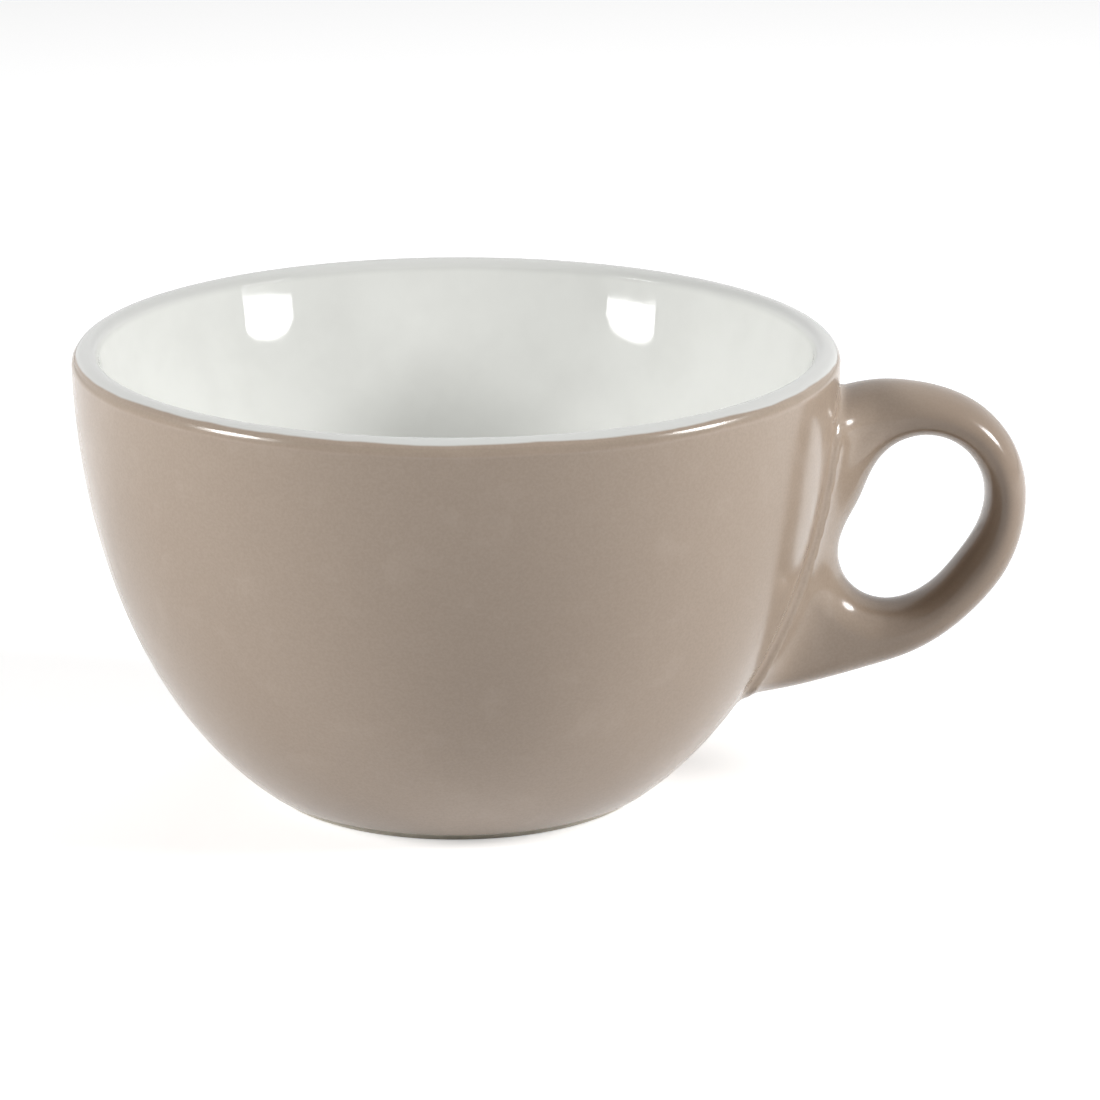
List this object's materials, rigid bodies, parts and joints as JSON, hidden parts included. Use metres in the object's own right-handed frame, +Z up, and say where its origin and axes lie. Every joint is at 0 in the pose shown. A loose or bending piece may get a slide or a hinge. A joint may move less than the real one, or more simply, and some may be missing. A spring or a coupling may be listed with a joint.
{
  "type": "cappuccino cup",
  "caption": "Wide round-bellied ceramic coffee cup with a thick rounded lip, a foot ring and a finger-loop handle, white-glazed inside and taupe-glazed outside.",
  "frame": {"origin": "on the cup's axis, in the plane that the foot ring stands on", "axes": "+Z up along the cup's axis, +X from the axis towards the handle"},
  "size_m": [0.1348, 0.108, 0.0646],
  "materials": {
    "bare_clay": "fired off-white body, unglazed, fine matt grain",
    "luting_slip": "fired joining slip, matt",
    "white_glaze": "glossy white glaze",
    "taupe_glaze": "satin-gloss taupe glaze with fine mottling"
  },
  "bodies": {
    "root": {"bowl": "bare_clay", "handle": "bare_clay", "luting_slip": "luting_slip", "liner_glaze": "white_glaze", "colour_glaze": "taupe_glaze", "base_glaze": "taupe_glaze"}
  },
  "joints": []
}
